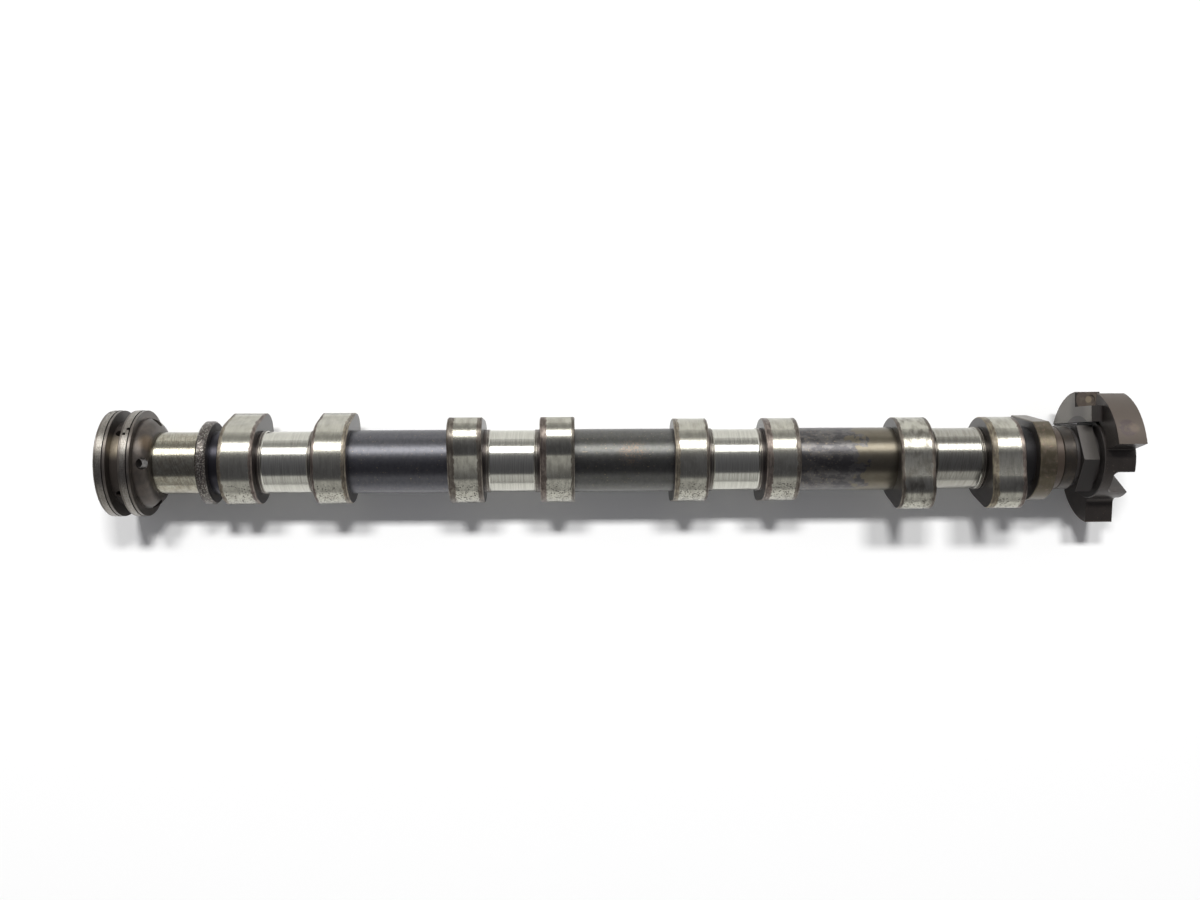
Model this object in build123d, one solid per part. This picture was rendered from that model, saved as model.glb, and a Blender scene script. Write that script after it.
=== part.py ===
from build123d import *

import os
from math import acos, cos, degrees, radians, sin

# Assembled camshaft of an in-line four: steel tube, eight joined cams, front flange, timing
# block and a forged drive end. Millimetres. The shaft's axis is X, from the front flange's face
# at X = 0 towards the rear. Angles turn about X, from +Y towards +Z, and start at the cam noses
# of cylinder one; RESTING_TURN then turns the whole shaft to the way it lies on a bench.

RESTING_TURN = -37.0

# Tube
TUBE_RADIUS = 12.0
TUBE_WALL = 3.5
GRINDING_DEPTH = 0.35
FRONT_JOURNAL_LENGTH = 16.8
JOURNAL_LENGTH = 17.0
TUBE_TAIL = 4.3
STEP_BEVEL = 0.3
SEAT_GROOVE_COUNT = 2
SEAT_GROOVE_PITCH = 0.65
SEAT_GROOVE_DEPTH = 0.15

# Cams
BORE_PITCH = 84.0
CYLINDER_COUNT = 4
FIRING_ORDER = (1, 3, 4, 2)
CAM_WIDTH = 12.85
CAM_SPACE = 21.15
BASE_RADIUS = 15.8
NOSE_RADIUS = 8.5
NOSE_REACH = 21.5
CAM_BEVEL = 0.35

# Thrust collar
COLLAR_WIDTH = 3.8
COLLAR_RADIUS = 15.7
COLLAR_BEVEL = 0.7
COLLAR_TO_CAM = 4.3

# Front flange and its seal rings
LAND_WIDTH = 4.35
LIP_WIDTH = 0.95
LAND_BEVEL = 0.3
GALLERY_WIDTH = 4.3
GALLERY_RADIUS = 15.8
FLANGE_FILLET = 5.0
SPIGOT_LENGTH = 12.0
SPIGOT_BEVEL = 0.8
OIL_CHAMBER_RADIUS = 7.5
OIL_CHAMBER_DEPTH = 15.0
THREAD_CORE_RADIUS = 5.1
THREAD_BEVEL = 0.9
FLANGE_ANGLE = 37.0
PORT_COUNT = 4
GALLERY_PORT_DIAMETER = 2.9
FACE_PORT_DIAMETER = 3.2
FACE_PORT_RADIUS = 12.6
FEED_PORT_DIAMETER = 4.4
FEED_PORT_SLANT = 35.0
FEED_PORT_PLACE = 14.6
FEED_PORT_RADIUS = 13.4
PORT_OVERRUN = 1.0
RING_WIDTH = 2.0
RING_RADIUS = 20.0
RING_PROUD = 0.1
RING_DEPTH = 2.4
RING_FRONT_CLEARANCE = 0.05
RING_REAR_CLEARANCE = 0.35
RING_FLOOR_CLEARANCE = 0.3
RING_LAP_SLIT = 0.05
RING_GAP = 1.0
RING_LAP_ANGLE = 6.5
RING_JOINT_ANGLES = (57.0, 94.0)

# Timing block
BLOCK_TO_CAM = 5.1
BLOCK_WIDTH = 6.5
BLOCK_RADIUS = 16.2
BLOCK_FLAT = 14.8
BLOCK_FLAT_ANGLE = -45.0
BLOCK_BEVEL = 0.3

# Drive end: neck, hexagon with an undercut on both sides, hub with the pump slot, sensor teeth and segment plate
NECK_LENGTH = 6.3
NECK_RADIUS = 12.2
NECK_BEVEL = 0.4
PLUG_LENGTH = 14.0
HEXAGON_LENGTH = 5.9
HEXAGON_CORNER_RADIUS = 14.5
HEXAGON_BEVEL = 0.25
HEXAGON_ANGLE = 130.0
UNDERCUT_WIDTH = 1.4
UNDERCUT_RADIUS = 11.4
HUB_LENGTH = 11.8
HUB_RADIUS = 15.7
HUB_BEVEL = 0.3
SLOT_WIDTH = 10.0
SLOT_DEPTH = 8.0
SLOT_OFFSET = 2.3
SLOT_ANGLE = 157.5
SLOT_FILLET = 2.0
WHEEL_RADIUS = 25.4
TOOTH_LENGTH = 10.4
TOOTH_INSET = 0.6
FIRST_TOOTH_ANGLES = (54.0, 115.7)
FIRST_TOOTH_FILLET = 0.6
SECOND_TOOTH_START_ANGLE = 224.0
SECOND_TOOTH_FILLET = 2.6
PLATE_LENGTH = 9.7
PLATE_OVERHANG = 3.5
PLATE_ANGLE = 37.0
PLATE_FLOOR = 13.5
PLATE_SIDE = 12.2
PLATE_NOTCH_FLOOR = 19.5
PLATE_NOTCH_SIDE = -1.8
DIMPLE_RADIUS = 1.9
DIMPLE_DEPTH = 0.4
DIMPLE_HEIGHT = 22.3
DIMPLE_FROM_REAR = 3.6

# Places along the shaft, each from the piece in front of it
FLANGE_END = 2 * LAND_WIDTH + GALLERY_WIDTH + FLANGE_FILLET
COLLAR_START = FLANGE_END + FRONT_JOURNAL_LENGTH
FIRST_CAM_START = COLLAR_START + COLLAR_WIDTH + COLLAR_TO_CAM
FIRST_CYLINDER = FIRST_CAM_START + CAM_WIDTH + CAM_SPACE / 2
LAST_CYLINDER = FIRST_CYLINDER + (CYLINDER_COUNT - 1) * BORE_PITCH
BLOCK_START = LAST_CYLINDER + CAM_SPACE / 2 + CAM_WIDTH + BLOCK_TO_CAM
TUBE_END = BLOCK_START + BLOCK_WIDTH + TUBE_TAIL
HEXAGON_START = TUBE_END + NECK_LENGTH
HUB_START = HEXAGON_START + HEXAGON_LENGTH + UNDERCUT_WIDTH
SHAFT_END = HUB_START + HUB_LENGTH

TUBE_BORE = TUBE_RADIUS - TUBE_WALL
JOURNAL_RADIUS = TUBE_RADIUS - GRINDING_DEPTH
LAND_RADIUS = RING_RADIUS - RING_PROUD

ON_CIRCLE_TOLERANCE = 0.01


def section(place):
    """The plane across the shaft at a place along it, facing the rear."""
    return Plane.YZ.offset(place)


def turned(points):
    """A solid turned about the shaft's axis from (place, radius) points."""
    outline = make_face(Polyline(*points, close=True))
    return revolve(outline, Axis.X, 360)


def turned_ring(start, width, radius, bore, bevel):
    """A plain ring with both outer edges bevelled."""
    end = start + width
    return turned(
        [
            (start, bore),
            (start, radius - bevel),
            (start + bevel, radius),
            (end - bevel, radius),
            (end, radius - bevel),
            (end, bore),
        ]
    )


def polar(radius, angle):
    """The point at a radius and an angle in a section of the shaft."""
    return (radius * cos(radians(angle)), radius * sin(radians(angle)))


def sector(radius, start_angle, end_angle):
    """A slice of a disc, from the axis out to a radius."""
    start_side = Line((0, 0), polar(radius, start_angle))
    rim = CenterArc((0, 0), radius, start_angle, end_angle - start_angle)
    end_side = Line(polar(radius, end_angle), (0, 0))
    return make_face(start_side + rim + end_side)


def seat_grooves(start):
    """Fine rolled grooves in the tube's outline, left over from the seat of a cam."""
    points = []
    for index in range(SEAT_GROOVE_COUNT):
        middle = start + (index + 0.5) * SEAT_GROOVE_PITCH
        points += [
            (middle - SEAT_GROOVE_DEPTH, TUBE_RADIUS),
            (middle, TUBE_RADIUS - SEAT_GROOVE_DEPTH),
            (middle + SEAT_GROOVE_DEPTH, TUBE_RADIUS),
        ]
    return points


def journal_outline(start, end):
    """One ground journal in the tube's outline, bevelled, with rolled grooves on both sides."""
    return [
        *seat_grooves(start - SEAT_GROOVE_COUNT * SEAT_GROOVE_PITCH),
        (start, TUBE_RADIUS),
        (start + STEP_BEVEL, JOURNAL_RADIUS),
        (end - STEP_BEVEL, JOURNAL_RADIUS),
        (end, TUBE_RADIUS),
        *seat_grooves(end),
    ]


def make_tube():
    """The carrier tube: raw between the cylinders, ground at its five journals."""
    outline = [
        (FLANGE_END, TUBE_BORE),
        (FLANGE_END, JOURNAL_RADIUS),
        (COLLAR_START - STEP_BEVEL, JOURNAL_RADIUS),
        (COLLAR_START, TUBE_RADIUS),
    ]
    for cylinder in range(CYLINDER_COUNT):
        middle = FIRST_CYLINDER + cylinder * BORE_PITCH
        outline += journal_outline(middle - JOURNAL_LENGTH / 2, middle + JOURNAL_LENGTH / 2)
    outline += [(TUBE_END, TUBE_RADIUS), (TUBE_END, TUBE_BORE)]
    return turned(outline)


def make_cam(start, nose_angle):
    """One cam: a base circle and a nose circle joined by straight flanks, on the tube."""
    base = Circle(BASE_RADIUS)
    nose = Pos(NOSE_REACH - NOSE_RADIUS, 0) * Circle(NOSE_RADIUS)
    outline = make_hull(base.edges() + nose.edges())
    cam = extrude(section(start) * Rot(Z=nose_angle) * outline, CAM_WIDTH)
    rims = [face.outer_wire().edges() for face in cam.faces().filter_by(Axis.X)]
    cam = chamfer([edge for rim in rims for edge in rim], CAM_BEVEL)
    return cam - extrude(section(start) * Circle(TUBE_RADIUS), CAM_WIDTH)


def make_cams():
    """All cams, two to a cylinder, a quarter turn apart in the firing order."""
    cams = []
    for cylinder in range(CYLINDER_COUNT):
        nose_angle = -FIRING_ORDER.index(cylinder + 1) * 360 / CYLINDER_COUNT
        middle = FIRST_CYLINDER + cylinder * BORE_PITCH
        cams.append(make_cam(middle - CAM_SPACE / 2 - CAM_WIDTH, nose_angle))
        cams.append(make_cam(middle + CAM_SPACE / 2, nose_angle))
    return cams


def make_collar():
    """The thrust collar behind the front journal."""
    return turned_ring(COLLAR_START, COLLAR_WIDTH, COLLAR_RADIUS, TUBE_RADIUS, COLLAR_BEVEL)


def land_outline(start):
    """One land of the flange with its seal ring's groove, its front edge bevelled."""
    groove_start = start + LIP_WIDTH
    groove_end = groove_start + RING_FRONT_CLEARANCE + RING_WIDTH + RING_REAR_CLEARANCE
    groove_radius = RING_RADIUS - RING_DEPTH - RING_FLOOR_CLEARANCE
    return [
        (start, LAND_RADIUS - LAND_BEVEL),
        (start + LAND_BEVEL, LAND_RADIUS),
        (groove_start, LAND_RADIUS),
        (groove_start, groove_radius),
        (groove_end, groove_radius),
        (groove_end, LAND_RADIUS),
        (start + LAND_WIDTH, LAND_RADIUS),
    ]


def flange_body():
    """The turned flange: two ring lands, the oil gallery between them and a filleted back."""
    second_land = LAND_WIDTH + GALLERY_WIDTH
    back = second_land + LAND_WIDTH
    chamber_end = OIL_CHAMBER_DEPTH + OIL_CHAMBER_RADIUS - THREAD_CORE_RADIUS
    spigot_end = FLANGE_END + SPIGOT_LENGTH
    front = [(0, OIL_CHAMBER_RADIUS)] + land_outline(0)
    gallery = [(LAND_WIDTH, GALLERY_RADIUS), (second_land, GALLERY_RADIUS)]
    fillet_top = (back, TUBE_RADIUS + FLANGE_FILLET)
    fillet_foot = (FLANGE_END, TUBE_RADIUS)
    rear = [
        fillet_foot,
        (FLANGE_END, TUBE_BORE),
        (spigot_end - SPIGOT_BEVEL, TUBE_BORE),
        (spigot_end, TUBE_BORE - SPIGOT_BEVEL),
        (spigot_end, THREAD_CORE_RADIUS + THREAD_BEVEL),
        (spigot_end - THREAD_BEVEL, THREAD_CORE_RADIUS),
        (chamber_end, THREAD_CORE_RADIUS),
        (OIL_CHAMBER_DEPTH, OIL_CHAMBER_RADIUS),
        (0, OIL_CHAMBER_RADIUS),
    ]
    outline = Polyline(*front, *gallery, *land_outline(second_land), fillet_top)
    outline += RadiusArc(fillet_top, fillet_foot, FLANGE_FILLET)
    outline += Polyline(*rear)
    return revolve(make_face(outline), Axis.X, 360)


def gallery_ports():
    """Radial drillings from the gallery, each met by a drilling from the front face."""
    middle = LAND_WIDTH + GALLERY_WIDTH / 2
    face_port_depth = middle + GALLERY_PORT_DIAMETER / 2 + PORT_OVERRUN
    gallery_port = Circle(GALLERY_PORT_DIAMETER / 2)
    face_port = Circle(FACE_PORT_DIAMETER / 2)
    ports = []
    for index in range(PORT_COUNT):
        angle = FLANGE_ANGLE + (index + 0.5) * 360 / PORT_COUNT
        radial = Plane(
            origin=(middle, *polar(FACE_PORT_RADIUS, angle)),
            z_dir=(0, *polar(1, angle)),
        )
        facing = section(0) * Pos(*polar(FACE_PORT_RADIUS, angle))
        ports.append(extrude(radial * gallery_port, LAND_RADIUS - FACE_PORT_RADIUS))
        ports.append(extrude(facing * face_port, face_port_depth))
    return ports


def feed_ports():
    """Slanted drillings from the fillet behind the flange into the oil chamber."""
    to_chamber = (FEED_PORT_RADIUS - OIL_CHAMBER_RADIUS) / cos(radians(FEED_PORT_SLANT))
    depth = FLANGE_FILLET + to_chamber + PORT_OVERRUN
    bore = Circle(FEED_PORT_DIAMETER / 2)
    ports = []
    for index in range(PORT_COUNT):
        angle = FLANGE_ANGLE + index * 360 / PORT_COUNT
        inward = polar(-cos(radians(FEED_PORT_SLANT)), angle)
        mouth = Plane(
            origin=(FEED_PORT_PLACE, *polar(FEED_PORT_RADIUS, angle)),
            z_dir=(-sin(radians(FEED_PORT_SLANT)), *inward),
        )
        ports.append(extrude(mouth.offset(-FLANGE_FILLET) * bore, depth))
    return ports


def make_flange():
    """The front flange, which plugs into the tube and carries the cam phaser's bolt."""
    flange = flange_body()
    for port in gallery_ports() + feed_ports():
        flange -= port
    return flange


def make_seal_ring(start, joint_angle):
    """A rectangular seal ring with a stepped lap joint."""
    ring = extrude(section(start) * Circle(RING_RADIUS), RING_WIDTH)
    ring -= extrude(section(start) * Circle(RING_RADIUS - RING_DEPTH), RING_WIDTH)
    middle = start + RING_WIDTH / 2
    half_gap = degrees(RING_GAP / RING_RADIUS) / 2
    front_gap = sector(2 * RING_RADIUS, joint_angle - half_gap, joint_angle + half_gap)
    rear_angle = joint_angle - RING_LAP_ANGLE
    rear_gap = sector(2 * RING_RADIUS, rear_angle - half_gap, rear_angle + half_gap)
    lap = sector(2 * RING_RADIUS, rear_angle, joint_angle)
    ring -= extrude(section(start) * front_gap, RING_WIDTH / 2)
    ring -= extrude(section(middle) * rear_gap, RING_WIDTH / 2)
    ring -= extrude(section(middle - RING_LAP_SLIT / 2) * lap, RING_LAP_SLIT)
    return ring


def make_seal_rings():
    """One seal ring for each land of the flange."""
    rings = []
    for index, joint_angle in enumerate(RING_JOINT_ANGLES):
        land_start = index * (LAND_WIDTH + GALLERY_WIDTH)
        ring_start = land_start + LIP_WIDTH + RING_FRONT_CLEARANCE
        rings.append(make_seal_ring(ring_start, joint_angle))
    return rings


def make_timing_block():
    """A round collar with one square corner, which the setting tool grips."""
    reach = 2 * (BLOCK_FLAT + BLOCK_RADIUS)
    inside_flats = Pos(BLOCK_FLAT, BLOCK_FLAT) * Rectangle(reach, reach, align=Align.MAX)
    corner = Rectangle(BLOCK_FLAT, BLOCK_FLAT, align=Align.MIN)
    outline = (Circle(BLOCK_RADIUS) & inside_flats) + corner
    block = extrude(section(BLOCK_START) * Rot(Z=BLOCK_FLAT_ANGLE) * outline, BLOCK_WIDTH)
    rims = [face.outer_wire().edges() for face in block.faces().filter_by(Axis.X)]
    block = chamfer([edge for rim in rims for edge in rim], BLOCK_BEVEL)
    return block - extrude(section(BLOCK_START) * Circle(TUBE_RADIUS), BLOCK_WIDTH)


def drive_end_body():
    """The turned part of the drive end, from the plug in the tube to the hub's rear face."""
    plug_start = TUBE_END - PLUG_LENGTH
    neck_end = HEXAGON_START - UNDERCUT_WIDTH
    return turned(
        [
            (plug_start, 0),
            (plug_start, TUBE_BORE - SPIGOT_BEVEL),
            (plug_start + SPIGOT_BEVEL, TUBE_BORE),
            (TUBE_END, TUBE_BORE),
            (TUBE_END, NECK_RADIUS - NECK_BEVEL),
            (TUBE_END + NECK_BEVEL, NECK_RADIUS),
            (neck_end - NECK_BEVEL, NECK_RADIUS),
            (neck_end, NECK_RADIUS - NECK_BEVEL),
            (neck_end, UNDERCUT_RADIUS),
            (HUB_START, UNDERCUT_RADIUS),
            (HUB_START, HUB_RADIUS - HUB_BEVEL),
            (HUB_START + HUB_BEVEL, HUB_RADIUS),
            (SHAFT_END - HUB_BEVEL, HUB_RADIUS),
            (SHAFT_END, HUB_RADIUS - HUB_BEVEL),
            (SHAFT_END, 0),
        ]
    )


def hexagon():
    """The spanner hexagon, the tips of its corners bevelled at both ends."""
    outline = Rot(Z=HEXAGON_ANGLE) * RegularPolygon(HEXAGON_CORNER_RADIUS, 6)
    prism = extrude(section(HEXAGON_START) * outline, HEXAGON_LENGTH)
    disc = turned_ring(HEXAGON_START, HEXAGON_LENGTH, HEXAGON_CORNER_RADIUS, 0, HEXAGON_BEVEL)
    return prism & disc


def tooth(start_angle, end_angle, root_fillet):
    """One sensor tooth on the hub, with its two roots filleted."""
    start = SHAFT_END - TOOTH_INSET - TOOTH_LENGTH
    hub = Circle(HUB_RADIUS)
    outline = hub + sector(WHEEL_RADIUS, start_angle, end_angle)
    roots = [
        vertex
        for vertex in outline.vertices()
        if abs(Vector(vertex).length - HUB_RADIUS) < ON_CIRCLE_TOLERANCE
    ]
    outline = fillet(roots, root_fillet)
    return extrude(section(start) * outline, TOOTH_LENGTH)


def second_tooth_end_angle():
    """The angle at which the second tooth stands as low as the segment plate's far corner."""
    return PLATE_ANGLE + 180 + degrees(acos(PLATE_FLOOR / WHEEL_RADIUS))


def segment_plate():
    """The plate in front of the teeth: a chord of the wheel, notched, with a drilled dimple."""
    start = HUB_START - PLATE_OVERHANG
    middle = start + PLATE_LENGTH - DIMPLE_FROM_REAR
    reach = 2 * WHEEL_RADIUS
    above_floor = Pos(PLATE_FLOOR, PLATE_SIDE - reach) * Rectangle(reach, reach, align=Align.MIN)
    notch = Pos(PLATE_NOTCH_FLOOR, PLATE_NOTCH_SIDE) * Rectangle(reach, reach, align=Align.MIN)
    outline = (Circle(WHEEL_RADIUS) & above_floor) - notch
    plate = extrude(section(start) * Rot(Z=PLATE_ANGLE) * outline, PLATE_LENGTH)
    dimple_face = Plane(origin=(middle, DIMPLE_HEIGHT, PLATE_NOTCH_SIDE), z_dir=(0, 0, 1))
    dimple = extrude(dimple_face * Circle(DIMPLE_RADIUS), -DIMPLE_DEPTH)
    return plate - Rot(X=PLATE_ANGLE) * dimple


def pump_slot():
    """The slot that drives the pump: off centre, so that the coupling fits one way round."""
    bottom = SHAFT_END - SLOT_DEPTH
    outline = Pos(0, SLOT_OFFSET) * Rectangle(4 * WHEEL_RADIUS, SLOT_WIDTH)
    cutter = extrude(section(bottom) * Rot(Z=SLOT_ANGLE) * outline, 2 * SLOT_DEPTH)
    slot_axis = Axis((0, 0, 0), (0, *polar(1, SLOT_ANGLE)))
    floor = cutter.faces().sort_by(Axis.X)[0]
    return fillet(floor.edges().filter_by(slot_axis), SLOT_FILLET)


def make_drive_end():
    """The forged rear end of the shaft."""
    drive_end = drive_end_body() + hexagon()
    drive_end += tooth(*FIRST_TOOTH_ANGLES, FIRST_TOOTH_FILLET)
    drive_end += tooth(SECOND_TOOTH_START_ANGLE, second_tooth_end_angle(), SECOND_TOOTH_FILLET)
    drive_end += segment_plate()
    return drive_end - pump_slot()


def main():
    """Writes each piece, as it lies, to its own file."""
    pieces = {
        "tube": make_tube(),
        "thrust_collar": make_collar(),
        "front_flange": make_flange(),
        "timing_block": make_timing_block(),
        "drive_end": make_drive_end(),
    }
    for name, ring in zip(("seal_ring_front", "seal_ring_rear"), make_seal_rings()):
        pieces[name] = ring
    for number, cam in enumerate(make_cams(), start=1):
        pieces[f"cam_{number}"] = cam
    os.makedirs("parts", exist_ok=True)
    for name, piece in pieces.items():
        export_step(Rot(X=RESTING_TURN) * piece, f"parts/{name}.step")


main()
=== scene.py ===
from math import cos, pi, radians, sin

import bpy
from mathutils import Matrix, Vector


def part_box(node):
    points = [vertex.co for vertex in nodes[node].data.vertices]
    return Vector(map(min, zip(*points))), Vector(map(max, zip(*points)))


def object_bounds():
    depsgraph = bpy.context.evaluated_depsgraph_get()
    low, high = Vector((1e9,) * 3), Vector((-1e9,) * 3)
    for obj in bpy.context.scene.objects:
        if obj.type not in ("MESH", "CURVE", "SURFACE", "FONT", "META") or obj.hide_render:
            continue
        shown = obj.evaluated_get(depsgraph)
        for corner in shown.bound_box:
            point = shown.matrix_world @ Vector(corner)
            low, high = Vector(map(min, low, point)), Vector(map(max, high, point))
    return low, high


# The finish of a used, assembled camshaft: a drawn tube with ground journals, eight ground cams,
# an oil-stained flange with two seal rings, a varnished timing block and a forged drive end.
# The solids keep their own shapes, and each gets the finish of what it is made of.
# Metres, in the frame of the shaft: X runs along the axis from the front flange, Z is up and Y
# is across. Places on the shaft and sizes of marks are in millimetres, and angles in degrees.
# A mark has its real size, unless the comment beside it says that it is drawn coarser.

MM = 0.001

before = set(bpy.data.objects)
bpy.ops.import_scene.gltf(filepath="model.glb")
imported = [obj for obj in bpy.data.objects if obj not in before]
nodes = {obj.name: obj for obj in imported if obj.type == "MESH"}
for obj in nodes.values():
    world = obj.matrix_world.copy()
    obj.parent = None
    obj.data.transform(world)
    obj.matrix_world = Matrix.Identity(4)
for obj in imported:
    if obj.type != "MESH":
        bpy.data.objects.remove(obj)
cad_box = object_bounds()


# Places on the shaft ------------------------------------------------------------------------


def span(name):
    """Where a piece starts and ends along the shaft."""
    low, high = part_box(name)
    return low.x / MM, high.x / MM


FRONTWARDS = (-1.0, 0.0, 0.0)
REARWARDS = (1.0, 0.0, 0.0)

FLANGE_PLUG_END = span("front_flange")[1]
TUBE_START, TUBE_END = span("tube")
COLLAR_START, COLLAR_END = span("thrust_collar")
BLOCK_START, BLOCK_END = span("timing_block")
CAM_SPANS = [span(f"cam_{number}") for number in range(1, 9)]


def gap_behind(number):
    """Where the tube is bare behind a cam, up to the next one."""
    return CAM_SPANS[number - 1][1], CAM_SPANS[number][0]


# The tube between the second and third cylinders and between the third and fourth, and the
# journal of the fourth.
SECOND_STRETCH = gap_behind(4)
THIRD_STRETCH = gap_behind(6)
LAST_JOURNAL = gap_behind(7)

CYLINDER_1 = sum(gap_behind(1)) / 2
CYLINDER_PITCH = sum(gap_behind(3)) / 2 - CYLINDER_1


# Colours ------------------------------------------------------------------------------------


def srgb(hex_colour):
    """An sRGB hex colour as the linear red, green, blue and alpha that shaders take."""
    channels = [int(hex_colour[place : place + 2], 16) / 255 for place in (1, 3, 5)]
    linear = [c / 12.92 if c <= 0.04045 else ((c + 0.055) / 1.055) ** 2.4 for c in channels]
    return (*linear, 1.0)


# Ground steel, and what marks it
JOURNAL_STEEL = "#c8c7bd"
CAM_STEEL = "#b9b7ab"
FRONT_JOURNAL_STEEL = "#aba898"
SCRATCHED_STEEL = "#85837b"
PIT_GREY = "#2f2d29"
STAIN_GREY = "#6b675e"

# The raw tube
SCALE_BLACK = "#5f5f63"
SCALE_OLIVE = "#5f5f59"
SCALE_GREY = "#6c6b6d"
BAND_BLACK = "#37363b"
SEAT_BROWN = "#575049"
# Painted highlight on the edges of the seat grooves.
GROOVE_GLINT_GREY = "#c2beb4"
FLECK_RUST = "#83705f"
FLECK_TAN = "#9a8d78"
TUBE_OLIVE = "#736c5c"
TAIL_BROWN = "#483c31"
# Painted shade in the narrow gap before the timing block.
GAP_SHADE_BLACK = "#171515"

# Films of baked oil
FILM_TAN = "#847967"
FILM_GOLD = "#80745d"
FILM_RED = "#70605a"
FILM_BROWN = "#645a51"
FILM_DARK = "#3a322e"
FILM_OLIVE = "#6e695e"
SIDE_VARNISH = "#2b2725"

# Collar, flange, seal rings and timing block
COLLAR_GREY = "#4f4b48"
COLLAR_SPECK = "#b3afa6"
LAND_GREY = "#76716b"
FLANGE_BACK = "#4b4642"
# Painted warm highlight on the back of the flange.
FLANGE_HIGHLIGHT_TAN = "#806c52"
GALLERY_BROWN = "#342e2a"
GALLERY_TAN = "#968b78"
RING_GREY = "#9a968f"
RING_SPECK = "#5c564e"
BLOCK_OLIVE = "#5b5445"
BLOCK_PINK = "#80665a"

# Drive end
FORGED_BLACK = "#45403d"
FORGED_DARK = "#292625"
NECK_BROWN = "#3e3831"
HEXAGON_GREY = "#484542"
PLATE_GREY = "#6e6a64"
# Painted light on the wall of the notch.
NOTCH_LIT_BROWN = "#70675c"
TOOTH_BROWN = "#544b43"
TOOTH_TAN = "#6b5f50"
TOOTH_PURPLE = "#3d3138"


# Shader building ----------------------------------------------------------------------------

# How far one seed moves a noise, in metres; how strong a noise is in its finer grains; and the
# range that it mostly keeps to.
SEED_STEP = (0.0, 0.031, 0.017)
FINER_SHARE = 0.6
NOISE_LOW = 0.3
NOISE_HIGH = 0.7

# A mask that ends at the edge of a piece runs on past it by this much, so as not to fade there.
BEYOND = 2.0


def add(tree, kind, inputs, **settings):
    """Adds a node. Each input is a value, a socket, or a node that gives its first output."""
    node = tree.nodes.new("ShaderNode" + kind)
    for name, value in settings.items():
        setattr(node, name, value)
    for name, value in inputs.items():
        if isinstance(value, bpy.types.Node):
            value = value.outputs[0]
        if isinstance(value, bpy.types.NodeSocket):
            tree.links.new(value, node.inputs[name])
        else:
            node.inputs[name].default_value = value
    return node


def place_on_shaft(tree):
    """The place on the shaft in metres, and the distance along it in millimetres."""
    position = add(tree, "TexCoord", {}).outputs["Object"]
    split = add(tree, "SeparateXYZ", {"Vector": position})
    along = add(tree, "Math", {0: split.outputs["X"], 1: 1 / MM}, operation="MULTIPLY")
    return position, along


def grains(tree, position, size, detail=3.0, seed=0, turn=0.0):
    """Noise whose grains have one size along the shaft and another round it."""
    size_along, size_round = size
    placed = add(
        tree,
        "Mapping",
        {
            "Vector": position,
            "Location": [step * seed for step in SEED_STEP],
            "Rotation": (0.0, 0.0, radians(turn)),
            "Scale": (size_along * MM, size_round * MM, size_round * MM),
        },
        vector_type="TEXTURE",
    )
    return add(
        tree,
        "TexNoise",
        {"Vector": placed, "Scale": 1.0, "Detail": detail, "Roughness": FINER_SHARE},
    )


def blotches(tree, position, size, level, fade, **choices):
    """A mask of the places where such a noise stands above a level."""
    noise = grains(tree, position, size, **choices)
    return add(
        tree,
        "MapRange",
        {"Value": noise, "From Min": level - fade / 2, "From Max": level + fade / 2},
        interpolation_type="SMOOTHSTEP",
    )


def dots(tree, position, spacing, radius, fade):
    """A mask of scattered round dots; the radius and the fade are shares of their spacing."""
    cells = add(tree, "TexVoronoi", {"Vector": position, "Scale": 1 / (spacing * MM)})
    return add(
        tree,
        "MapRange",
        {
            "Value": cells.outputs["Distance"],
            "From Min": radius + fade / 2,
            "From Max": radius - fade / 2,
        },
        interpolation_type="SMOOTHSTEP",
    )


def band(tree, along, start, end, fade):
    """A mask of a stretch of the shaft that fades to nothing at both ends."""
    rise = add(
        tree,
        "MapRange",
        {"Value": along, "From Min": start - fade / 2, "From Max": start + fade / 2},
        interpolation_type="SMOOTHSTEP",
    )
    fall = add(
        tree,
        "MapRange",
        {"Value": along, "From Min": end + fade / 2, "From Max": end - fade / 2},
        interpolation_type="SMOOTHSTEP",
    )
    return add(tree, "Math", {0: rise, 1: fall}, operation="MULTIPLY")


def patch(tree, position, centre, radius, fade):
    """A mask of a round patch about a place."""
    gap = add(
        tree, "VectorMath", {0: position, 1: [c * MM for c in centre]}, operation="DISTANCE"
    )
    return add(
        tree,
        "MapRange",
        {
            "Value": gap.outputs["Value"],
            "From Min": (radius + fade / 2) * MM,
            "From Max": (radius - fade / 2) * MM,
        },
        interpolation_type="SMOOTHSTEP",
    )


def facing(tree, direction, start=0.7, full=0.9):
    """A mask of the faces that look in a direction, by the cosine between the two."""
    normal = add(tree, "TexCoord", {}).outputs["Normal"]
    cosine = add(tree, "VectorMath", {0: normal, 1: direction}, operation="DOT_PRODUCT")
    return add(
        tree,
        "MapRange",
        {"Value": cosine.outputs["Value"], "From Min": start, "From Max": full},
        interpolation_type="SMOOTHSTEP",
    )


def wandering(tree, along, position, reach, size):
    """The distance along the shaft, moved to and fro by a slow noise."""
    waves = grains(tree, position, (size, size))
    moved = add(
        tree,
        "MapRange",
        {
            "Value": waves,
            "From Min": NOISE_LOW,
            "From Max": NOISE_HIGH,
            "To Min": -reach,
            "To Max": reach,
        },
    )
    return add(tree, "Math", {0: along, 1: moved}, operation="ADD")


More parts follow.
